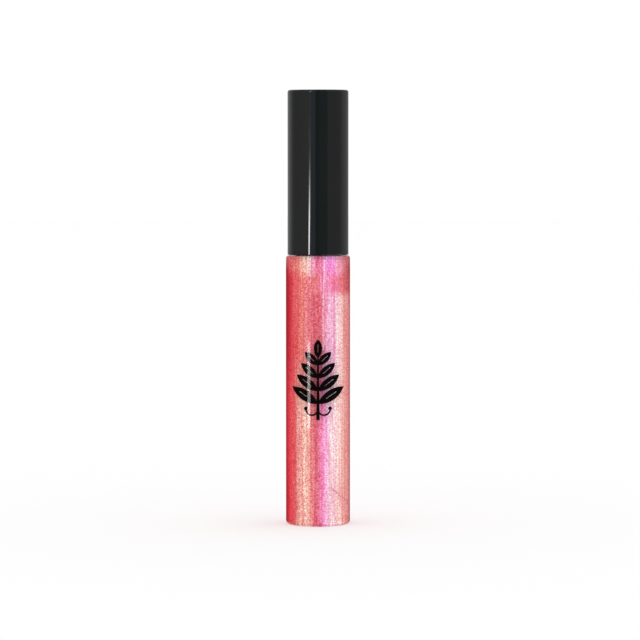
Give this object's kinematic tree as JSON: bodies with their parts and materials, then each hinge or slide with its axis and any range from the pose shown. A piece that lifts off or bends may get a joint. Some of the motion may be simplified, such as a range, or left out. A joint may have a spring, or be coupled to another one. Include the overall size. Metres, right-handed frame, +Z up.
{
  "type": "lip gloss tube",
  "caption": "Round clear tube of shimmering gloss with a tall glossy screw cap that carries a stem and a slanted flocked applicator through a wiper.",
  "frame": {"origin": "middle of the base, on the plane that the tube stands on", "axes": "+Z up along the tube's axis, from the base to the cap; -Y towards the printed front"},
  "size_m": [0.016, 0.0161, 0.1084],
  "materials": {
    "clear_wall": "gloss",
    "gloss": "gloss",
    "ink": "satin",
    "wiper": "satin",
    "foam": "matte",
    "weight": "satin",
    "cap_shell": "gloss",
    "liner": "satin",
    "stem": "satin",
    "tip": "satin",
    "flock": "matte"
  },
  "bodies": {
    "bottle": {"bottle": "clear_wall", "printed_mark": "ink", "gloss_fill": "gloss", "wiper": "wiper"},
    "seal": {"seal_washer": "foam"},
    "weight": {"cap_weight": "weight"},
    "cap": {"overcap": "cap_shell", "inner_cap": "liner", "stem": "stem", "tip_core": "tip", "flocking": "flock"}
  },
  "joints": [
    {"name": "wand_draw", "type": "slide", "parent": "bottle", "child": "seal", "axis": [0, 0, 1], "range_m": [0, 0.084]},
    {"name": "cap_rise", "type": "slide", "parent": "seal", "child": "weight", "axis": [0, 0, 1], "range_m": [0, 0.00375]},
    {"name": "cap_turn", "type": "hinge", "parent": "weight", "child": "cap", "pos_m": [0, 0, 0.08], "axis": [0, 0, 1], "range_deg": [0, 540]}
  ],
  "couplings": [
    {"joint": "cap_rise", "follows": "cap_turn", "m_per_rad": 0.00039788}
  ]
}
